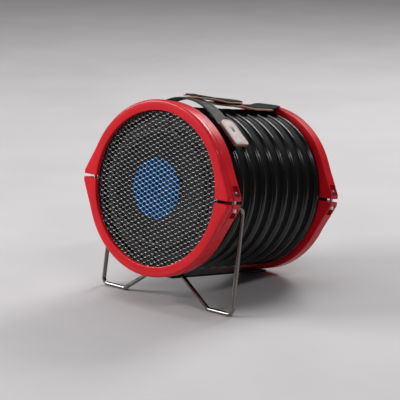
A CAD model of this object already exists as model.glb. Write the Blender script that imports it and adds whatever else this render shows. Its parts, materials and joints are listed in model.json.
"""Looks of a round portable guitar amplifier with a ribbed hose for a body.

Pieces are made in the body's own millimetres: x to the right, y back along the body's
axis from the front lip, z up across the axis. `piece` stands them on the floor with the
body's lean, in the frame's metres.
"""
import json
import math
import random

import bmesh
import bpy
from mathutils import Matrix, Vector


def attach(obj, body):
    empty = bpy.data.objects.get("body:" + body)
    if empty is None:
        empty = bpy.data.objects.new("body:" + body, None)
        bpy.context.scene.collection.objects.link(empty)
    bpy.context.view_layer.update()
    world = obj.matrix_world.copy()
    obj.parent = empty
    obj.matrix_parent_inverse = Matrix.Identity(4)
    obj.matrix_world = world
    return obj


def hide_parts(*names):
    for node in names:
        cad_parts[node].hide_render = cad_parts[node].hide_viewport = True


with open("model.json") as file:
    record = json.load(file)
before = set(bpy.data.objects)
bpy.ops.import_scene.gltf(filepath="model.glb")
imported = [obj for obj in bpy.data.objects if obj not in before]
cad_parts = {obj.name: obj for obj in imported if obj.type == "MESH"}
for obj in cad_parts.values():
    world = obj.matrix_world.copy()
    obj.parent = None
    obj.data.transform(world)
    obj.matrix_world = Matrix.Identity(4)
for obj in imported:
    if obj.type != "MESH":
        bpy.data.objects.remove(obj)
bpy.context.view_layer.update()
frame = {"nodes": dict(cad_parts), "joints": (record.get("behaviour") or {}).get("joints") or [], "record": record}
SLOT_OF = {part["node"]: part["material_slot"] for part in frame["record"]["subparts"]}
ROOT = "body"

# ---------- driving dimensions, in millimetres and degrees ----------

MM = 0.001
BODY_LEN = 222
AXIS = Vector(next(j for j in frame["joints"] if j["name"] == "cone_travel")["axis"])
TILT = math.asin(-AXIS.z)

MOUTH_R = 90
LIP_R = 102
LIP_FILLET = 3
LIP_W = 7.2
LIP_DEPTH = 4.5
EDGE = 1
DRAFT = 0.01
REAR_RIM_R = 95
GROOVE_R = 98.6
BAND_R = 101
BAND_Y = 9.4
CLAMP_W = 23.3
CLAMP_BORE_R = 92.5
SPLIT_HALF_GAP = 2

EAR_X = 110.5
EAR_GROOVE_X = 108.1
EAR_TOP = 7
EAR_SINK = 0.8
EAR_TAPER = 0.4
POCKET_X = 101.5
POCKET_Y = 11.4
POCKET_W = 10
POCKET_TOP = 17
POCKET_DRAFT = 0.05

HOSE_R = 92.2
HOSE_Y0 = 6.1
HOSE_Y1 = 217.3
HOSE_WALL_T = 1.5
BAY_SAG = 0.75
HOSE_STEPS = 288
RIB_R = 2.8
RIB_FIRST = 46.3
RIB_PITCH = 20.9
RIB_COUNT = 8

MESH_Y = 5.3
MESH_R = 91.6
MESH_LONG = 10.34
MESH_SHORT = 5.8
MESH_THICK = 0.9
MESH_LEAN = 0.55
MESH_BOND = 1.15
MESH_STRAND = 0.62
RIM_IN_R = 90.3
RIM_OUT_R = 91.9
RIM_Y0 = 4.8
RIM_Y1 = 5.95
EMBLEM_R = 35

WEB_Y = 49
WEB_W = 22
WEB_T = 2.4
WEB_CORDS = 9
TAB_DIR = math.radians(49.6)
TAB_LEN = 38
TAB_W = 24
TAB_T = 4.6
TAB_MID = -3.8
TAB_CORNER_R = 9
TAB_SCREW = 2.6
WEB_FREE = 8.3
WEB_LINE = HOSE_R + RIB_R + 0.5 + WEB_T / 2

LEATHER_W = 42
PAD_W = 39
PAD_T = 1.4
LEATHER_FRONT_T = 1.6
LEATHER_REAR_T = 2.4
PAD_GAP = 0.1
PAD_CROWN = 0.5

UNDER_W = 34
UNDER_T = 2.4
UNDER_Z = -BAND_R - 0.5 - UNDER_T
UNDER_Y0 = CLAMP_W + 1.3
UNDER_Y1 = BODY_LEN - 10.5
UNDER_TAIL_Z = -HOSE_R - 3
UNDER_RISE = 8
UNDER_CORDS = 11

PLATE_Y = BODY_LEN - 11.1
KNOB_XS = {"gain": 48, "bass": 16, "treble": -16, "volume": -48}
KNOB_Z = 12
KNOB_R = 9.5
KNOB_END_Y = BODY_LEN - 0.4
KNOB_TURN = math.radians(300)

LIFT = UNDER_Y1 * math.sin(TILT) - UNDER_Z * math.cos(TILT)
FRONT_REACH = LIP_FILLET * math.cos(TILT) - (LIP_R - LIP_FILLET) * math.sin(TILT) - LIP_FILLET
REAR_REACH = (BODY_LEN - EDGE) * math.cos(TILT) + (REAR_RIM_R - EDGE) * math.sin(TILT) + EDGE
MID_Y = (FRONT_REACH + REAR_REACH) / 2
STOOD = (
    Matrix.Scale(MM, 4)
    @ Matrix.Translation((0, -MID_Y, LIFT))
    @ Matrix.Rotation(-TILT, 4, "X")
)


# ---------- small helpers ----------


def lerp(a, b, t):
    return a + (b - a) * t


def smooth_step(t):
    t = min(1, max(0, t))
    return t * t * (3 - 2 * t)


def smooth_max(a, b, k):
    """The larger of a and b, with the crossing rounded over about k."""
    return 0.5 * (a + b + math.sqrt((a - b) ** 2 + k * k))


def sharpen(mesh, degrees):
    """Shades smooth, except at edges sharper than the given angle."""
    bm = bmesh.new()
    bm.from_mesh(mesh)
    bmesh.ops.recalc_face_normals(bm, faces=bm.faces)
    limit = math.radians(degrees)
    for face in bm.faces:
        face.smooth = True
    for edge in bm.edges:
        edge.smooth = len(edge.link_faces) == 2 and edge.calc_face_angle(0) < limit
    bm.to_mesh(mesh)
    bm.free()


def piece(name, verts, faces, material, replaces=(), body=ROOT, sharp=60, weave=None):
    """A piece from millimetre points, stood in the frame. weave: a texture point per vertex."""
    mesh = bpy.data.meshes.new(name)
    mesh.from_pydata([tuple(v) for v in verts], [], faces)
    if weave:
        layer = mesh.attributes.new("weave", "FLOAT_VECTOR", "POINT")
        layer.data.foreach_set("vector", [c for w in weave for c in w])
    mesh.transform(STOOD)
    sharpen(mesh, sharp)
    mesh.materials.append(material)
    obj = bpy.data.objects.new(name, mesh)
    bpy.context.scene.collection.objects.link(obj)
    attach(obj, body)
    if replaces:
        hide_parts(*replaces)
    return obj


def bevel(obj, width, degrees):
    """Rounds a piece's sharp edges."""
    mod = obj.modifiers.new("rounded edges", "BEVEL")
    mod.width = width * MM
    mod.segments = 2
    mod.limit_method = "ANGLE"
    mod.angle_limit = math.radians(degrees)
    mod.harden_normals = True
    return obj


def loft(rings, closed_path=False):
    """Vertices and faces of a surface through equal rings of points, capped at open ends."""
    count = len(rings[0])
    verts = [p for ring in rings for p in ring]
    faces = []
    for i in range(len(rings) if closed_path else len(rings) - 1):
        a, b = i * count, (i + 1) % len(rings) * count
        for j in range(count):
            k = (j + 1) % count
            faces.append((a + j, a + k, b + k, b + j))
    if not closed_path:
        faces.append(tuple(range(count - 1, -1, -1)))
        faces.append(tuple((len(rings) - 1) * count + j for j in range(count)))
    return verts, faces


def arc(x, y, r, a0, a1, n):
    """Points of a rounded corner, angles in degrees."""
    angles = [math.radians(lerp(a0, a1, i / n)) for i in range(n + 1)]
    return [(x + r * math.cos(a), y + r * math.sin(a)) for a in angles]


def turned_point(r, y, a):
    """A point at radius r and angle a about the body's axis."""
    return (r * math.cos(a), y, r * math.sin(a))


# ---------- materials ----------


def grey(tone):
    return (tone,) * 3


class Finish:
    """A procedural material under construction, measured in the body's millimetres."""

    def __init__(self, name):
        self.material = bpy.data.materials.new(name)
        self.material.use_nodes = True
        self.tree = self.material.node_tree
        self.shader = self.tree.nodes["Principled BSDF"]
        self.at = self._body_millimetres()

    def add(self, kind, sockets=(), **settings):
        node = self.tree.nodes.new(kind)
        for key, value in settings.items():
            setattr(node, key, value)
        for key, value in dict(sockets).items():
            self.plug(node.inputs[key], value)
        return node

    def plug(self, socket, value):
        if isinstance(value, bpy.types.NodeSocket):
            self.tree.links.new(value, socket)
        else:
            socket.default_value = value

    def _body_millimetres(self):
        """Undoes the stand's lean and the frame's metres."""
        coords = self.add("ShaderNodeTexCoord")
        back = Matrix.Rotation(TILT, 4, "X")
        move = back @ Vector((0, MID_Y, -LIFT))
        mapping = self.add("ShaderNodeMapping", {"Vector": coords.outputs["Object"]})
        mapping.inputs["Location"].default_value = move
        mapping.inputs["Rotation"].default_value = (TILT, 0, 0)
        mapping.inputs["Scale"].default_value = (1 / MM,) * 3
        return mapping.outputs["Vector"]

    def weave(self):
        """The piece's own texture point: across, along and round, in millimetres."""
        return self.add("ShaderNodeAttribute", attribute_name="weave").outputs["Vector"]

    def calc(self, operation, *values):
        return self.add("ShaderNodeMath", enumerate(values), operation=operation).outputs[0]

    def plus(self, a, b):
        return self.calc("ADD", a, b)

    def times(self, a, b):
        return self.calc("MULTIPLY", a, b)

    def split(self, vector):
        return self.add("ShaderNodeSeparateXYZ", {0: vector}).outputs

    def join(self, x, y, z=0.0):
        return self.add("ShaderNodeCombineXYZ", {0: x, 1: y, 2: z}).outputs[0]

    def round_axis(self):
        """A point as (angle about the axis in radians, y, radius)."""
        x, y, z = self.split(self.at)
        radius = self.calc("SQRT", self.plus(self.times(x, x), self.times(z, z)))
        return self.calc("ARCTAN2", z, x), y, radius

    def noise(self, size, detail=3.0, rough=0.5, at=None, stretch=None):
        """Noise with features of the given size in millimetres."""
        vector = at or self.at
        if stretch:
            vector = self.add("ShaderNodeMapping", {"Vector": vector, "Scale": stretch}).outputs[0]
        sockets = {"Vector": vector, "Scale": 1 / size, "Detail": detail, "Roughness": rough}
        return self.add("ShaderNodeTexNoise", sockets).outputs["Fac"]

    def cells(self, size):
        sockets = {"Vector": self.at, "Scale": 1 / size}
        return self.add("ShaderNodeTexVoronoi", sockets).outputs["Distance"]

    def waves(self, value, pitch):
        """A sine from 0 to 1 of a length in millimetres."""
        turn = self.times(value, 2 * math.pi / pitch)
        return self.calc("MULTIPLY_ADD", self.calc("SINE", turn), 0.5, 0.5)

    def ramp(self, factor, low, high, a=0.0, b=1.0):
        """Numbers from a to b as factor goes from low to high."""
        sockets = {"Value": factor, "From Min": low, "From Max": high, "To Min": a, "To Max": b}
        return self.add("ShaderNodeMapRange", sockets).outputs["Result"]

    def spread(self, noise, a=0.0, b=1.0):
        """Numbers from a to b over the middle of a noise, where most of it lies."""
        return self.ramp(noise, 0.3, 0.7, a, b)

    def mix(self, factor, a, b):
        node = self.add("ShaderNodeMix", data_type="RGBA")
        self.plug(node.inputs["Factor"], factor)
        self.plug(node.inputs[6], (*a, 1) if isinstance(a, tuple) else a)
        self.plug(node.inputs[7], (*b, 1) if isinstance(b, tuple) else b)
        return node.outputs[2]

    def bump(self, height, depth, strength):
        """Relief of the given depth in millimetres."""
        sockets = {"Height": height, "Distance": depth * MM, "Strength": strength}
        return self.add("ShaderNodeBump", sockets).outputs["Normal"]

    def set(self, **values):
        names = {
            "color": "Base Color", "rough": "Roughness", "metal": "Metallic", "normal": "Normal",
            "coat": "Coat Weight", "coat_rough": "Coat Roughness", "sheen": "Sheen Weight",
            "sheen_rough": "Sheen Roughness", "specular": "Specular IOR Level",
            "through": "Transmission Weight",
        }
        for key, value in values.items():
            self.plug(self.shader.inputs[names[key]], value)
        return self.material


def red_enamel():
    f = Finish("red enamel")
    cloud = f.noise(38, detail=2)
    color = f.mix(f.spread(cloud), (0.58, 0.006, 0.014), (0.70, 0.010, 0.020))
    peel = f.noise(1.1, detail=2)
    rough = f.spread(f.noise(6), 0.30, 0.38)
    return f.set(color=color, rough=rough, coat=0.2, coat_rough=0.12, specular=0.2,
                 normal=f.bump(peel, 0.018, 0.35))


def speckled(name, dark, light, size, rough, relief=0.05, metal=0.0):
    """Cast, moulded, sawn or sheared stuff: two tones of noise with matching relief."""
    f = Finish(name)
    grain = f.noise(size)
    color = f.mix(f.ramp(grain, 0.35, 0.65), dark, light)
    fine = f.noise(size / 4, detail=2)
    return f.set(color=color, rough=f.spread(fine, *rough), metal=metal,
                 normal=f.bump(fine, relief, 0.6))


def brushed(name, dark, light, rough=(0.2, 0.34), stretch=(1, 18, 18)):
    """Drawn or turned metal with fine lines."""
    f = Finish(name)
    lines = f.noise(0.6, stretch=stretch)
    color = f.mix(f.spread(lines), dark, light)
    tarnish = f.noise(9)
    return f.set(color=color, metal=1.0, rough=f.spread(tarnish, *rough),
                 normal=f.bump(lines, 0.012, 0.5))


def wood_grain():
    f = Finish("black stained ply")
    rings = f.noise(5, detail=4, stretch=(0.12, 6, 1.4))
    color = f.mix(f.ramp(rings, 0.35, 0.65), (0.010, 0.009, 0.008), (0.035, 0.030, 0.026))
    return f.set(color=color, rough=f.spread(rings, 0.5, 0.75),
                 normal=f.bump(rings, 0.08, 0.6))


def mesh_enamel():
    """Black enamel on the expanded mesh, with a plain blue disc painted in the middle."""
    f = Finish("mesh enamel")
    _, _, radius = f.round_axis()
    wobble = f.ramp(f.noise(1.4), 0, 1, -0.4, 0.4)
    soft = 0.25
    painted = f.ramp(f.plus(radius, wobble), EMBLEM_R - soft, EMBLEM_R + soft, 1.0, 0.0)
    tone = f.noise(3)
    black = f.mix(f.spread(tone), (0.008, 0.008, 0.009), (0.016, 0.016, 0.018))
    blue = f.mix(f.spread(tone), (0.004, 0.16, 0.46), (0.010, 0.23, 0.60))
    color = f.mix(painted, black, blue)
    return f.set(color=color, rough=f.spread(tone, 0.24, 0.32), coat=1.0, coat_rough=0.16,
                 specular=1.0, normal=f.bump(f.noise(0.5), 0.01, 0.4))


def hose_cloth():
    """Rubbered twill: fine diagonal cords over a plain matt ground."""
    f = Finish("hose cloth")
    angle, y, _ = f.round_axis()
    around = f.times(angle, HOSE_R)
    twill = f.waves(f.plus(around, f.times(y, 1.25)), 1.9)
    weft = f.waves(f.calc("SUBTRACT", around, f.times(y, 0.55)), 0.95)
    fuzz = f.noise(0.35, detail=2)
    patch = f.noise(14)
    height = f.plus(f.plus(twill, f.times(weft, 0.35)), f.times(fuzz, 0.4))
    tone = f.plus(f.times(twill, 0.6), f.times(patch, 0.5))
    color = f.mix(f.ramp(tone, 0.2, 0.95), (0.0012, 0.0012, 0.0016), (0.005, 0.005, 0.006))
    return f.set(color=color, rough=f.spread(fuzz, 0.5, 0.65), specular=0.10,
                 normal=f.bump(height, 0.16, 0.8))


def rib_rubber():
    """Smooth rubber with slow streaks along each rib."""
    f = Finish("rib rubber")
    angle, y, _ = f.round_axis()
    along = f.join(f.times(angle, HOSE_R), f.times(y, 6.0))
    streak = f.noise(9, detail=3, at=along)
    color = f.mix(f.spread(streak), (0.0012, 0.0012, 0.0015), (0.004, 0.004, 0.0045))
    return f.set(color=color, rough=f.spread(streak, 0.17, 0.24), specular=0.55,
                 normal=f.bump(f.noise(0.6), 0.02, 0.4))


def webbing():
    """Woven webbing: herringbone picks across every cord."""
    f = Finish("black webbing")
    across, along, _ = f.split(f.weave())
    lean = f.times(f.calc("PINGPONG", across, 1.39), 1.1)
    picks = f.waves(f.plus(along, lean), 0.95)
    fuzz = f.noise(0.3, detail=2)
    worn = f.noise(11)
    height = f.plus(picks, f.times(fuzz, 0.5))
    tone = f.plus(f.times(picks, 0.5), f.times(worn, 0.6))
    color = f.mix(f.ramp(tone, 0.25, 0.9), (0.004, 0.004, 0.0045), grey(0.018))
    return f.set(color=color, rough=f.spread(fuzz, 0.38, 0.52), specular=0.35,
                 normal=f.bump(height, 0.12, 0.8))


def leather(name, deep, pale, edge):
    """Grained leather, with its own tone on its cut edges."""
    f = Finish(name)
    _, _, side = f.split(f.weave())
    pebble = f.cells(1.1)
    creases = f.noise(5, detail=4)
    tone = f.mix(f.spread(creases), deep, pale)
    color = f.mix(side, tone, edge)
    height = f.calc("SUBTRACT", f.times(creases, 0.6), f.times(pebble, 0.5))
    return f.set(color=color, rough=f.spread(creases, 0.42, 0.58), specular=0.4,
                 normal=f.bump(height, 0.12, 0.6))


def felt():
    f = Finish("black felt")
    fibre = f.noise(0.45, detail=4, rough=0.7)
    tuft = f.noise(2.6, detail=2)
    tone = f.ramp(f.plus(fibre, tuft), 0.7, 1.3)
    color = f.mix(tone, (0.006, 0.0065, 0.0065), (0.024, 0.025, 0.025))
    return f.set(color=color, rough=0.9, sheen=0.03, sheen_rough=0.5, specular=0.12,
                 normal=f.bump(fibre, 0.25, 0.8))


def plain_paint(name, tone, rough):
    f = Finish(name)
    fleck = f.noise(0.8, detail=2)
    color = f.mix(f.spread(fleck), tuple(c * 0.82 for c in tone), tone)
    return f.set(color=color, rough=rough, normal=f.bump(fleck, 0.02, 0.4))


def lens_red():
    f = Finish("red lens")
    swirl = f.noise(1.2)
    color = f.mix(f.spread(swirl), (0.35, 0.01, 0.008), (0.55, 0.03, 0.02))
    return f.set(color=color, rough=0.12, coat=1.0, coat_rough=0.05, through=0.25)


def metals():
    """The bare metals' finishes, by slot."""
    return {
        "bright_screw": brushed("bright steel", (0.62, 0.62, 0.63), grey(0.82)),
        "dark_steel": speckled("blackened steel", (0.05, 0.05, 0.055), (0.13, 0.13, 0.135), 1.6,
                               (0.34, 0.5), 0.02, metal=1.0),
        "coil_copper": brushed("coil copper", (0.55, 0.24, 0.10), (0.80, 0.42, 0.22),
                               stretch=(1, 14, 1)),
        "zinc_steel": brushed("zinc steel", (0.42, 0.42, 0.43), (0.66, 0.66, 0.67),
                              rough=(0.3, 0.45)),
        "tag_brass": brushed("tag brass", (0.50, 0.36, 0.12), (0.70, 0.53, 0.22)),
        "rivet_copper": brushed("rivet copper", (0.50, 0.24, 0.14), (0.72, 0.40, 0.27),
                                stretch=(3, 3, 1)),
        "polished_wire": brushed("polished wire", (0.15, 0.135, 0.125), (0.34, 0.31, 0.29),
                                 rough=(0.16, 0.3), stretch=(12, 12, 1)),
        "nickel": brushed("nickel", (0.55, 0.53, 0.50), (0.76, 0.74, 0.70), stretch=(1, 10, 1)),
        "sink_alu": brushed("sink aluminium", (0.42, 0.42, 0.44), (0.62, 0.62, 0.64),
                            rough=(0.35, 0.5)),
    }


def moulded_and_cut():
    """Foam, card, cloth, paint and plastic, by slot: two tones, grain size, roughness, relief."""
    return {
        "black_foam": speckled("open foam", grey(0.004), grey(0.03), 1.3, (0.85, 0.95), 0.5),
        "basket_paint": speckled("basket paint", (0.012, 0.012, 0.013), (0.03, 0.03, 0.032), 1.2,
                                 (0.4, 0.55)),
        "gasket_card": speckled("gasket card", (0.03, 0.022, 0.014), (0.08, 0.06, 0.04), 0.9,
                                (0.75, 0.9), 0.1),
        "surround_cloth": speckled("doped cloth", grey(0.008), grey(0.03), 0.8, (0.4, 0.6), 0.12),
        "cone_paper": speckled("cone paper", (0.014, 0.013, 0.012), (0.04, 0.038, 0.035), 2.2,
                               (0.7, 0.85), 0.15),
        "spider_cloth": speckled("spider cloth", (0.30, 0.20, 0.08), (0.48, 0.35, 0.17), 0.7,
                                 (0.7, 0.85), 0.1),
        "ferrite": speckled("ferrite", (0.02, 0.02, 0.021), (0.05, 0.05, 0.052), 1.5,
                            (0.5, 0.7), 0.04),
        "panel_black": speckled("panel paint", (0.010, 0.010, 0.011), (0.022, 0.022, 0.024), 0.9,
                                (0.5, 0.68), 0.12),
        "plate_black": speckled("plate anodise", (0.010, 0.010, 0.012), (0.020, 0.020, 0.023),
                                0.5, (0.3, 0.42), 0.015),
        "knob_black": speckled("knob plastic", grey(0.010), grey(0.022), 0.7, (0.35, 0.5), 0.03),
        "board_green": speckled("board green", (0.008, 0.07, 0.025), (0.02, 0.13, 0.05), 2.5,
                                (0.3, 0.5), 0.03),
        "lead_red": speckled("lead insulation", (0.28, 0.012, 0.012), (0.42, 0.03, 0.03), 1.4,
                             (0.35, 0.5), 0.03),
    }


def make_finishes():
    """One material for each of the record's slots."""
    return metals() | moulded_and_cut() | {
        "red_clamp": red_enamel(),
        "grille_mesh": mesh_enamel(),
        "birch_ply": wood_grain(),
        "hose_wall": hose_cloth(),
        "hose_rib": rib_rubber(),
        "webbing": webbing(),
        "rose_leather": leather("rose leather", (0.50, 0.40, 0.37), (0.72, 0.61, 0.57),
                                (0.30, 0.13, 0.09)),
        "tan_leather": leather("tan leather", (0.40, 0.20, 0.14), (0.58, 0.34, 0.26),
                               (0.50, 0.27, 0.20)),
        "black_pad": felt(),
        "led_red": lens_red(),
    }


# ---------- red clamp rings ----------


def flare_radius(angle, tip, ring_r):
    """Radius of the straight flare from an ear's tip to its tangent point on the ring."""
    sink_r = ring_r - EAR_SINK
    touch = math.atan2(EAR_TOP, tip) + math.acos(sink_r / math.hypot(tip, EAR_TOP))
    a = Vector((tip - EAR_TAPER, EAR_TOP))
    b = Vector((sink_r * math.cos(touch), sink_r * math.sin(touch)))
    if angle > touch:
        return sink_r
    along = Vector((math.cos(angle), math.sin(angle)))
    edge = b - a
    return (a.x * edge.y - a.y * edge.x) / (along.x * edge.y - along.y * edge.x)


def ear_radius(angle, tip, ring_r):
    """Outer radius of a clamp at an angle up from the split, ear included."""
    blend = 0.9
    flared = smooth_max(flare_radius(angle, tip, ring_r), ring_r, blend)
    side = (tip - EAR_TAPER * math.sin(angle)) / math.cos(angle)
    return min(flared, side)


def clamp_section(angle, rear):
    """Section of a clamp at an angle up from the split, as (radius, y)."""
    lip = REAR_RIM_R if rear else ear_radius(angle, EAR_X, LIP_R)
    groove = REAR_RIM_R if rear else ear_radius(angle, EAR_GROOVE_X, GROOVE_R)
    fillet = EDGE if rear else LIP_FILLET
    band = ear_radius(angle, EAR_X, BAND_R)
    height = band * math.sin(angle)
    pocket = POCKET_X / math.cos(angle) if EAR_TOP + 0.03 < height < POCKET_TOP else band
    y1 = POCKET_Y + POCKET_W
    return (
        arc(MOUTH_R + EDGE, EDGE, EDGE, 180, 270, 4)
        + arc(lip - fillet, fillet, fillet, 270, 360, 8)
        + [(lip, LIP_W), (groove, LIP_W + DRAFT), (groove, BAND_Y - DRAFT)]
        + arc(band - EDGE, BAND_Y + EDGE, EDGE, 270, 360, 4)
        + [(band, POCKET_Y), (min(band, pocket), POCKET_Y + POCKET_DRAFT)]
        + [(min(band, pocket), y1 - POCKET_DRAFT), (band, y1)]
        + arc(band - EDGE, CLAMP_W - EDGE, EDGE, 0, 90, 4)
        + [(CLAMP_BORE_R, CLAMP_W), (CLAMP_BORE_R, LIP_DEPTH), (MOUTH_R, LIP_DEPTH)]
    )


def clamp_angles():
    """Angles of the stations from the right split up to the top, closer together on the ear."""
    heights = [
        SPLIT_HALF_GAP, 3, 4.5, 6, EAR_TOP - 0.1, EAR_TOP + 0.02, EAR_TOP + 0.1, 8, 10, 12, 14, 16,
        POCKET_TOP - 0.02, POCKET_TOP + 0.06, 18.5, 20, 23, 26, 29,
    ]
    near = [math.asin(h / EAR_X) for h in heights]
    steps = 62
    far = [lerp(near[-1] + 0.03, math.pi / 2, (i + 1) / steps) for i in range(steps)]
    return near + far


def clamp_half(name, below, rear, material):
    """Half a clamp ring with its two ears."""
    level_below, turn_over = 0.18, 0.25
    right = clamp_angles()
    stations = [(a, a) for a in right] + [(a, math.pi - a) for a in reversed(right[:-1])]
    rings = []
    for up, angle in stations:
        ring = []
        for r, y in clamp_section(up, rear):
            # near the split the stations are level cuts, as the ears' faces are
            level = math.asin(min(1, EAR_X * math.sin(up) / r))
            turn = lerp(level, up, smooth_step((up - level_below) / turn_over))
            turn = turn if angle <= math.pi / 2 else math.pi - turn
            x, y, z = turned_point(r, y, turn)
            ring.append((x, BODY_LEN - y if rear else y, -z if below else z))
        rings.append(ring)
    verts, faces = loft(rings)
    obj = piece(name + "_casting", verts, faces, material, [name], sharp=35)
    return bevel(obj, 0.35, 38)


def clamp_rings(material):
    """Both split rings: front and rear, upper and lower halves."""
    for end in ("front", "rear"):
        for half in ("upper", "lower"):
            clamp_half(f"{end}_clamp_{half}", half == "lower", end == "rear", material)


# ---------- front mesh ----------


def diamond_cell(half_l, half_s):
    """A cell's outline and its opening, as equal lists of (x, z) points."""
    per_side, squareness, squash = 5, 1.45, 1.55
    corners = [(half_l, 0), (0, half_s), (-half_l, 0), (0, -half_s)]
    outline = []
    for a, b in zip(corners, corners[1:] + corners[:1]):
        steps = [i / per_side for i in range(per_side)]
        outline += [(lerp(a[0], b[0], t), lerp(a[1], b[1], t)) for t in steps]
    hole_l, hole_s = half_l - MESH_BOND * 1.9, half_s - MESH_STRAND
    hole = []
    for x, z in outline:
        a = math.atan2(z * squash, x)
        reach = (
            abs(math.cos(a)) ** squareness / hole_l ** squareness
            + abs(math.sin(a)) ** squareness / hole_s ** squareness
        )
        r = (1 - 0.04 * abs(math.cos(a)) ** 6) / reach ** (1 / squareness)
        hole.append((r * math.cos(a), r * math.sin(a)))
    return outline, hole


def expanded_mesh(material):
    """Expanded metal: a diamond opening per cell, walled by tilted strands that meet in bonds."""
    half_l, half_s = MESH_LONG / 2, MESH_SHORT / 2
    outline, hole = diamond_cell(half_l, half_s)
    verts, faces, index = [], [], {}

    def vertex(key, p):
        if key not in index:
            index[key] = len(verts)
            verts.append(p)
        return index[key]

    # from a strand's middle to the opening and round its wall: (share of the way, depth)
    rows = [(0.0, 0.0), (0.45, 0.02), (0.8, 0.13), (0.97, 0.34), (1.0, 0.55), (0.93, 0.85),
            (0.5, 1.0), (0.0, 1.0)]

    def wall(column, line, k):
        """Vertices from the strand to the wall's back at the cell outline's point k."""
        strip = []
        for m, (share, depth) in enumerate(rows):
            x, z = lerp(outline[k][0], hole[k][0], share), lerp(outline[k][1], hole[k][1], share)
            swing = MESH_LEAN * share * max(-1, min(1, z / (half_s * 0.55)))
            y = MESH_Y + MESH_THICK * (depth - 0.5) - swing
            px, pz = column * half_l + x, line * half_s + z
            cell = (column, line) if share else 0
            trim = min(1, MESH_R / max(EDGE, math.hypot(px, pz)))
            key = (m, round(px * 50), round(pz * 50), cell)
            strip.append(vertex(key, (px * trim, y, pz * trim)))
        return strip

    columns = int(MESH_R / half_l) + 2
    lines = int(MESH_R / half_s) + 2
    for column in range(-columns, columns + 1):
        for line in range(-lines, lines + 1):
            outside = math.hypot(column * half_l, line * half_s) > MESH_R + half_l * 0.5
            if outside or (column + line) % 2:
                continue
            for k in range(len(outline)):
                a, b = wall(column, line, k), wall(column, line, (k + 1) % len(outline))
                faces += [(a[m], b[m], b[m + 1], a[m + 1]) for m in range(len(rows) - 1)]
    return piece("grille_expanded_mesh", verts, faces, material, ["grille"])


def mesh_rim(material):
    """Flat rolled rim that the mesh's cut edge is welded to, tucked behind the lip."""
    chamfer, steps = 0.3, 180
    section = [
        (RIM_IN_R, 5.0), (RIM_IN_R + chamfer, RIM_Y0), (RIM_OUT_R - chamfer, RIM_Y0),
        (RIM_OUT_R, 5.1), (RIM_OUT_R, 5.8), (RIM_OUT_R - chamfer, RIM_Y1),
        (RIM_IN_R + chamfer, RIM_Y1), (RIM_IN_R, 5.7),
    ]
    verts, faces = loft(ring_surface(section, steps), closed_path=True)
    return piece("grille_rim", verts, faces, material)


# ---------- hose ----------


def hose_profile():
    """Outline of the hose wall between its ribs, sagging a little in every bay."""
    points = []
    step = 1.1
    count = int((HOSE_Y1 - HOSE_Y0) / step)
    for i in range(count + 1):
        y = lerp(HOSE_Y0, HOSE_Y1, i / count)
        bay = (y - RIB_FIRST) / RIB_PITCH
        sag = 0.0
        if -0.9 < bay < RIB_COUNT - 0.1:
            t = bay - math.floor(bay)
            sag = BAY_SAG * math.sin(math.pi * t) ** 2
        points.append((HOSE_R - sag, y))
    return points


def ring_surface(profile, steps, wobble=0.0, seed=1):
    """Rings of a surface of revolution, with a slow random unevenness in millimetres."""
    rand = random.Random(seed)
    waves = [
        (rand.randint(2, 9), rand.uniform(0, 6.28), rand.uniform(0.3, 1)) for _ in range(5)
    ]
    rings = []
    for i in range(steps):
        a = 2 * math.pi * i / steps
        off = wobble * sum(w * math.sin(n * a + p) for n, p, w in waves) / len(waves)
        rings.append([turned_point(r + off, y, a) for r, y in profile])
    return rings


def hose_wall(material):
    outer = hose_profile()
    inner = [(r - HOSE_WALL_T, y) for r, y in reversed(outer)]
    verts, faces = loft(ring_surface(outer + inner, HOSE_STEPS), closed_path=True)
    return piece("hose_skin", verts, faces, material, ["hose"], sharp=50)


def hose_rib(index, material):
    """One half-round rib with a soft foot where the cloth is pulled over it."""
    y = RIB_FIRST + index * RIB_PITCH
    foot, seat, sink = 1.5, 0.15, 1.2
    angles = [math.radians(12 + 156 * i / 16) for i in range(17)]
    crown = [
        (HOSE_R + seat + (RIB_R - seat) * math.sin(a), y - RIB_R * math.cos(a)) for a in angles
    ]
    front = [
        (HOSE_R - 0.35, y - RIB_R - foot),
        (HOSE_R - 0.02, y - RIB_R - foot * 0.55),
        (HOSE_R + 0.25, y - RIB_R - 0.1),
    ]
    back = [(r, 2 * y - q) for r, q in reversed(front)]
    under = [(HOSE_R - sink, y + RIB_R + foot), (HOSE_R - sink, y - RIB_R - foot)]
    rings = ring_surface(front + crown + back + under, HOSE_STEPS, 0.06, seed=11 + index)
    verts, faces = loft(rings, closed_path=True)
    return piece(f"hose_rib_{index + 1}", verts, faces, material, sharp=50)


def all_ribs(material):
    """Every rib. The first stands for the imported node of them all."""
    ribs = [hose_rib(i, material) for i in range(RIB_COUNT)]
    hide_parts("hose_ribs")


# ---------- straps ----------


def web_section(width, thick, cords):
    """Outline of ribbed webbing as (across, out): cords on both faces, rounded selvedges."""
    per_cord, relief = 6, 0.16
    flat = width / 2 - 0.7
    face = []
    for i in range(cords * per_cord + 1):
        t = i / (cords * per_cord)
        swell = relief * abs(math.sin(math.pi * cords * t)) ** 0.7
        face.append((lerp(-flat, flat, t), thick / 2 - relief + swell))
    selvedge = [(width / 2 - 0.1, thick * 0.3), (width / 2, 0), (width / 2 - 0.1, -thick * 0.3)]
    other = [(-x, -z) for x, z in face]
    left = [(-x, -z) for x, z in selvedge]
    return face + selvedge + other + left


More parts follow.
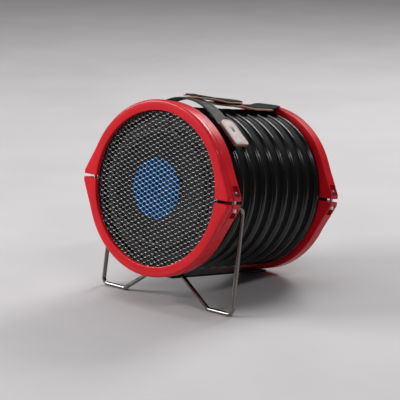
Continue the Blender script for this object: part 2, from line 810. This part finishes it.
def web_band(name, path, outs, section, side, material, replaces):
    """Lofts a webbing section along a path; outs are its outward directions."""
    rings, weave, run = [], [], 0.0
    for i, (p, out) in enumerate(zip(path, outs)):
        if i:
            run += (Vector(p) - Vector(path[i - 1])).length
        ring = []
        for across, lift in section:
            ring.append(Vector(p) + side * across + out * lift)
            weave.append((across, run, 0.0))
        rings.append(ring)
    verts, faces = loft(rings)
    return piece(name, verts, faces, material, replaces, sharp=70, weave=weave)


def web_arc():
    """Where the strap's arc over the top starts, its radius and the height of its centre."""
    ends = TAB_MID + TAB_LEN / 2 + WEB_FREE
    start_x = WEB_LINE * math.cos(TAB_DIR) - ends * math.sin(TAB_DIR)
    start_z = WEB_LINE * math.sin(TAB_DIR) + ends * math.cos(TAB_DIR)
    radius = start_x / math.cos(TAB_DIR)
    return ends, radius, start_z - radius * math.sin(TAB_DIR)


def web_top():
    _, radius, height = web_arc()
    return height + radius + WEB_T / 2


def carrying_strap(material):
    """Webbing over the top: straight under each tab, one arc between them."""
    ends, arc_r, arc_z = web_arc()
    tail = TAB_MID - TAB_LEN / 2 + 2
    out = Vector((math.cos(TAB_DIR), 0, math.sin(TAB_DIR)))
    up = Vector((-math.sin(TAB_DIR), 0, math.cos(TAB_DIR)))
    straight, steps = 12, 80
    path, outs = [], []
    for i in range(straight):
        s = lerp(tail, ends, i / straight)
        path.append(out * WEB_LINE + up * s + Vector((0, WEB_Y, 0)))
        outs.append(out)
    for i in range(steps + 1):
        a = lerp(TAB_DIR, math.pi - TAB_DIR, i / steps)
        out = Vector((math.cos(a), 0, math.sin(a)))
        path.append(out * arc_r + Vector((0, WEB_Y, arc_z)))
        outs.append(out)
    path += [Vector((-p.x, p.y, p.z)) for p in reversed(path[:straight])]
    outs += [Vector((-o.x, 0, o.z)) for o in reversed(outs[:straight])]
    section = web_section(WEB_W, WEB_T, WEB_CORDS)
    return web_band("carrying_strap", path, outs, section, Vector((0, 1, 0)), material,
                    ["webbing_strap"])


def under_strap(material):
    """Webbing along the bottom of the hose, turned up behind the front clamp."""
    low, tail = UNDER_Z + UNDER_T / 2, UNDER_TAIL_Z + UNDER_T / 2
    path, outs = [], []
    steps = 90
    for i in range(steps + 1):
        y = lerp(UNDER_Y0, UNDER_Y1, i / steps)
        path.append(Vector((0, y, lerp(tail, low, smooth_step((y - UNDER_Y0) / UNDER_RISE)))))
    for i in range(steps + 1):
        run = (path[min(steps, i + 1)] - path[max(0, i - 1)]).normalized()
        outs.append(Vector((0, run.z, -run.y)))
    section = web_section(UNDER_W, UNDER_T, UNDER_CORDS)
    return web_band("under_strap", path, outs, section, Vector((1, 0, 0)), material,
                    ["bottom_strap"])


def tab_outline():
    """Outline of an end tab, square below and round above, as (along, across)."""
    half_l, half_w, top_r, foot_r = TAB_LEN / 2, TAB_W / 2, TAB_CORNER_R, 2.2
    return (
        arc(half_l - foot_r, half_w - foot_r, foot_r, 0, 90, 5)
        + arc(-half_l + top_r, half_w - top_r, top_r, 90, 180, 12)
        + arc(-half_l + top_r, -half_w + top_r, top_r, 180, 270, 12)
        + arc(half_l - foot_r, -half_w + foot_r, foot_r, 270, 360, 5)
    )


def strap_tab(name, sign, material):
    """Thick leather tab: rounded edges, a creased line inside them and a hole for its screw."""
    outline = tab_outline()
    foot = WEB_LINE + WEB_T / 2 + 0.1
    # (inset, height, how much it is a cut edge)
    layers = [(1.6, 0.0, 1.0), (0.5, 0.0, 1.0), (0.0, 0.5, 1.0), (0.0, TAB_T - 1.7, 1.0),
              (0.18, TAB_T - 1.45, 1.0), (0.0, TAB_T - 1.2, 0.6), (0.12, TAB_T - 0.5, 0.25),
              (0.6, TAB_T - 0.1, 0.0), (1.2, TAB_T, 0.0), (1.9, TAB_T - 0.06, 0.0),
              (2.15, TAB_T - 0.3, 0.2), (2.4, TAB_T - 0.06, 0.0), (3.2, TAB_T, 0.0)]
    face_r, hole_r, bevel_w, hole_depth = 6.5, 3.3, 0.35, 1.8
    rings, weave = [], []

    def stood_point(along, across, height):
        # along points down the strap, so the rounded end faces up
        out = Vector((sign * math.cos(TAB_DIR), 0, math.sin(TAB_DIR)))
        up = Vector((-sign * math.sin(TAB_DIR), 0, math.cos(TAB_DIR)))
        return out * (foot + height) + up * (TAB_MID - along) + Vector((0, WEB_Y + across, 0))

    for inset, height, edge in layers:
        ring = []
        for along, across in outline:
            shorter, narrower = 1 - inset / (TAB_LEN / 2), 1 - inset / (TAB_W / 2)
            ring.append(stood_point(along * shorter, across * narrower, height))
            weave.append((0, 0, edge))
        rings.append(ring)
    hole = [(face_r, TAB_T), (hole_r + bevel_w, TAB_T), (hole_r, TAB_T - 0.3),
            (hole_r, TAB_T - hole_depth)]
    for radius, height in hole:
        ring = []
        for along, across in outline:
            a = math.atan2(across, along + TAB_SCREW)
            down = radius * math.cos(a) - TAB_SCREW
            ring.append(stood_point(down, radius * math.sin(a), height))
            weave.append((0, 0, 0.0 if height > TAB_T - 0.2 else 1.0))
        rings.append(ring)
    verts, faces = loft(rings)
    return piece(name, verts, faces, material, sharp=75, weave=weave)


def both_tabs(material):
    """The right and left tabs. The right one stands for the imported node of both."""
    right = strap_tab("tab_right", 1, material)
    strap_tab("tab_left", -1, material)
    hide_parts("strap_tabs")


def strap_line(points):
    """Evenly spaced (y, z) points along a line of corners, with its corners eased."""
    steps = 144
    total = points[-1][0] - points[0][0]
    fine = []
    for i in range(steps + 1):
        y = points[0][0] + total * i / steps
        for a, b in zip(points, points[1:]):
            if y <= b[0] + 1e-6:
                fine.append([y, lerp(a[1], b[1], (y - a[0]) / (b[0] - a[0]))])
                break
    reach = 3
    eased = []
    for i, (y, _) in enumerate(fine):
        span = [fine[min(steps, max(0, i + k))][1] for k in range(-reach, reach + 1)]
        eased.append((y, sum(span) / len(span)))
    return eased


def height_on(eased, y):
    """Height of an eased strap line at y."""
    y0, y1 = eased[0][0], eased[-1][0]
    t = (y - y0) / (y1 - y0) * (len(eased) - 1)
    i = min(len(eased) - 2, max(0, int(t)))
    return lerp(eased[i][1], eased[i + 1][1], t - i)


def flat_strap(name, line, width, thick, material, stands_for, crown=0.0, edge_r=0.5):
    """A strap with round ends along a (y, z) line, with softened edges and a crowned face."""
    steps, across_n = 72, 18
    eased = strap_line(line)
    y0, y1 = line[0][0], line[-1][0]
    half = width / 2

    def half_width(y):
        reach = min(y - y0, y1 - y)
        if reach >= half:
            return half
        return max(0.05, math.sqrt(max(0.0, half ** 2 - (half - reach) ** 2)))

    rings, weave = [], []
    for i in range(steps + 1):
        t = i / steps
        ends = 0.5 - 0.5 * math.cos(math.pi * t)
        y = lerp(y0, y1, lerp(t, ends, 0.55))
        w = half_width(y)
        soft = min(edge_r, w * 0.5)
        top = []
        for j in range(across_n + 1):
            u = -1 + 2 * j / across_n
            top.append(((w - soft) * u, thick + crown * (1 - u * u) * min(1, w / half)))
        nick = soft * 0.3
        rim = [(w - nick, thick - nick), (w, thick - soft), (w, soft), (w - nick, nick)]
        bottom = [(w - soft, 0.0), (0.0, 0.0), (-w + soft, 0.0)]
        outline = top + rim + bottom + [(-x, z) for x, z in reversed(rim)]
        edges = [0.0] * len(top) + [0.5] + [1.0] * 9 + [0.5]
        rings.append([Vector((x, y, height_on(eased, y) + z)) for x, z in outline])
        weave += [(x, y, e) for (x, _), e in zip(outline, edges)]
    verts, faces = loft(rings)
    return piece(name, verts, faces, material, stands_for, weave=weave)


def stitch(at, along, length, r):
    """Points of one raised thread stitch as rings, with heights above the strap's face."""
    side = Vector((-along.y, along.x, 0))
    rings = []
    for k in range(5):
        s = -1 + k / 2
        girth = r * math.sqrt(max(0.06, 1 - (s * 0.95) ** 2))
        ring = []
        for m in range(6):
            c = 2 * math.pi * m / 6
            p = at + along * (s * length / 2) + side * (girth * math.cos(c))
            ring.append((p.x, p.y, girth * math.sin(c) + 0.12 * (1 - s * s)))
        rings.append(ring)
    return rings


def stitch_route(y0, y1, half_w):
    """The two sides of a seam as (x, y) points, each from the middle of one end to the other."""
    quarter = [math.radians(90 - 90 * i / 60) for i in range(61)]
    for side in (1, -1):
        straight = [(side * half_w, lerp(y0 + half_w, y1 - half_w, i / 200)) for i in range(201)]
        turn = [(side * half_w * math.sin(a), y1 - half_w + half_w * math.cos(a)) for a in quarter]
        start = [(x, y0 + y1 - y) for x, y in reversed(turn)]
        yield start + straight + turn


def stitches(name, line, half_w, height, material):
    """Thread stitches just inside a strap's edge, along both sides and round its ends."""
    pitch, length, r, end_gap = 3.4, 2.2, 0.32, 2.6
    eased = strap_line(line)
    verts, faces = [], []
    for path in stitch_route(line[0][0] + end_gap, line[-1][0] - end_gap, half_w):
        run, next_at = 0.0, 1.0
        for a, b in zip(path, path[1:]):
            gap = math.dist(a, b)
            if gap < 1e-6:
                continue
            a, b = Vector((*a, 0)), Vector((*b, 0))
            while run + gap >= next_at:
                at = a.lerp(b, (next_at - run) / gap)
                points, quads = loft(stitch(at, (b - a).normalized(), length, r))
                base = len(verts)
                verts += [(x, y, height_on(eased, y) + height + z) for x, y, z in points]
                faces += [tuple(base + i for i in quad) for quad in quads]
                next_at += pitch
            run += gap
    return piece(name, verts, faces, material, sharp=80)


def felt_pad(name, line, material, stands_for):
    """A felt strip riveted flat on a leather strap."""
    pad = flat_strap(name, line, PAD_W, PAD_T - 0.3, material, stands_for,
                     crown=PAD_CROWN, edge_r=0.6)


def top_straps(leather_finish, felt_finish, thread):
    """The two leather straps, their felt pads and the pads' stitching."""
    seam = PAD_W / 2 - 2.4
    clamp_y = BODY_LEN - CLAMP_W
    front_z, front_drop = web_top() + 0.2, 3.3
    rear_z, rear_rise = HOSE_R + RIB_R + 1.4, 2.9
    clamp_z = BAND_R + 0.4

    front = [(47, front_z), (66, front_z), (94, front_z - front_drop), (135, front_z - front_drop)]
    rear = [(92, rear_z + rear_rise), (122, rear_z + rear_rise), (148, rear_z), (176, rear_z),
            (clamp_y - 1.5, rear_z)]
    flat_strap("leather_front_strap", front, LEATHER_W, LEATHER_FRONT_T, leather_finish,
               ["leather_front"])
    flat_strap("leather_rear_strap", rear, LEATHER_W, LEATHER_REAR_T, leather_finish,
               ["leather_rear"], edge_r=0.7)

    lift = LEATHER_FRONT_T + PAD_GAP
    front_top = [(49, front_z + lift)] + [(y, z + lift) for y, z in front[1:]]
    felt_pad("pad_front_felt", front_top, felt_finish, ["pad_front"])
    top_z = rear_z + LEATHER_REAR_T + PAD_GAP
    rear_top = [(104, top_z + rear_rise), (122, top_z + rear_rise), (148, top_z),
                (clamp_y - 12, top_z), (clamp_y + 0.5, clamp_z), (clamp_y + 13, clamp_z)]
    felt_pad("pad_rear_felt", rear_top, felt_finish, ["pad_rear"])
    stitches("pad_front_stitching", front_top, seam, PAD_T - 0.2, thread)
    stitches("pad_rear_stitching", rear_top, seam, PAD_T - 0.2, thread)


# ---------- rear panel ----------


def dial_ticks(material):
    """Eleven raised marks round each knob, over its whole turn."""
    verts, faces = [], []
    marks, half_w, inner_r = 11, 0.26, KNOB_R + 1.2
    for x in KNOB_XS.values():
        for i in range(marks):
            a = math.pi / 2 + KNOB_TURN / 2 - KNOB_TURN * i / (marks - 1)
            out = Vector((math.cos(a), 0, math.sin(a)))
            side = Vector((-math.sin(a), 0, math.cos(a)))
            outer_r = inner_r + (1.9 if i in (0, 5, 10) else 1.3)
            rings = []
            for y in (PLATE_Y - 0.02, PLATE_Y + 0.16):
                corners = ((inner_r, -1), (outer_r, -1), (outer_r, 1), (inner_r, 1))
                ring = [Vector((x, 0, KNOB_Z)) + out * r + side * s * half_w for r, s in corners]
                rings.append([(p.x, y, p.z) for p in ring])
            points, quads = loft(rings)
            faces += [tuple(len(verts) + j for j in quad) for quad in quads]
            verts += points
    return piece("dial_marks", verts, faces, material, sharp=30)


def knob_pointer(name, material):
    """White line filling a knob's pointer groove."""
    x, half_w = KNOB_XS[name], 0.5
    z0, z1 = KNOB_Z + 1.6, KNOB_Z + KNOB_R - 1.9
    corners = [(x - half_w, z0), (x + half_w, z0), (x + half_w, z1), (x - half_w, z1)]
    rings = [[(cx, y, cz) for cx, cz in corners] for y in (KNOB_END_Y - 0.45, KNOB_END_Y - 0.08)]
    verts, faces = loft(rings)
    obj = piece(f"pointer_{name}", verts, faces, material,
                body=f"knob_{name}_body", sharp=30)
    return bevel(obj, 0.12, 30)


# ---------- studio ----------


def make_floor():
    f = Finish("studio floor")
    mottle = f.noise(160, detail=3)
    color = f.mix(f.spread(mottle), (0.51, 0.495, 0.50), (0.55, 0.535, 0.54))
    f.set(color=color, rough=0.75, normal=f.bump(f.noise(2.5), 0.03, 0.3))
    mesh = bpy.data.meshes.new("floor")
    size = 12
    corners = [(-size, -size, 0), (size, -size, 0), (size, size, 0), (-size, size, 0)]
    mesh.from_pydata(corners, [], [(0, 1, 2, 3)])
    mesh.materials.append(f.material)
    floor = bpy.data.objects.new("floor", mesh)
    bpy.context.scene.collection.objects.link(floor)


def softbox(name, toward, distance, width, height, watts):
    """Rectangular light that faces the object's middle from a direction."""
    data = bpy.data.lights.new(name, "AREA")
    data.shape = "RECTANGLE"
    data.size, data.size_y = width, height
    data.energy = watts
    light = bpy.data.objects.new(name, data)
    direction = Vector(toward).normalized()
    light.location = Vector((0, 0, 0.13)) + direction * distance
    light.rotation_mode = "QUATERNION"
    light.rotation_quaternion = direction.to_track_quat("Z", "Y")
    bpy.context.scene.collection.objects.link(light)


def make_lights():
    softbox("front_left_box", (-0.80, -0.70, 0.52), distance=2.4, width=1.2, height=0.9, watts=46)
    softbox("top_rear_box", (-0.05, 0.75, 0.66), distance=2.2, width=0.9, height=0.6, watts=26)
    softbox("overhead_box", (-0.22, 0.15, 0.96), distance=3.2, width=2.4, height=2.2, watts=40)
    softbox("rib_strip", (0.62, -0.25, 0.74), distance=2.2, width=1.1, height=0.12, watts=9)
    world = bpy.data.worlds.new("studio")
    bpy.context.scene.world = world
    world.use_nodes = True
    back = world.node_tree.nodes["Background"]
    back.inputs["Color"].default_value = (0.80, 0.80, 0.82, 1)
    back.inputs["Strength"].default_value = 0.10


def make_camera():
    """Telephoto view from the right of the front, a little above."""
    data = bpy.data.cameras.new("camera")
    data.sensor_width = 36
    data.lens = 148.6
    camera = bpy.data.objects.new("camera", data)
    azimuth, elevation, distance = math.radians(39.96), math.radians(14.06), 1.975
    target = Vector((-0.0096, -0.01407, 0.1057))
    back = Vector((
        math.sin(azimuth) * math.cos(elevation),
        -math.cos(azimuth) * math.cos(elevation),
        math.sin(elevation),
    ))
    camera.location = target + back * distance
    camera.rotation_mode = "QUATERNION"
    camera.rotation_quaternion = back.to_track_quat("Z", "Y")
    bpy.context.scene.collection.objects.link(camera)
    bpy.context.scene.camera = camera


# ---------- the whole ----------


def dress_cad_nodes(finish):
    """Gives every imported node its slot's material."""
    for name, node in frame["nodes"].items():
        node.data.materials.clear()
        node.data.materials.append(finish[SLOT_OF[name]])


bpy.context.scene.view_settings.view_transform = "Standard"
make_camera()
finish = make_finishes()
white_mark = plain_paint("white mark", (0.72, 0.72, 0.70), 0.5)
thread = plain_paint("black thread", (0.05, 0.05, 0.052), 0.6)

dress_cad_nodes(finish)
clamp_rings(finish["red_clamp"])
expanded_mesh(finish["grille_mesh"])
mesh_rim(finish["grille_mesh"])
hose_wall(finish["hose_wall"])
all_ribs(finish["hose_rib"])
carrying_strap(finish["webbing"])
under_strap(finish["webbing"])
both_tabs(finish["rose_leather"])
top_straps(finish["tan_leather"], finish["black_pad"], thread)
dial_ticks(white_mark)
for knob in KNOB_XS:
    knob_pointer(knob, white_mark)
make_floor()
make_lights()
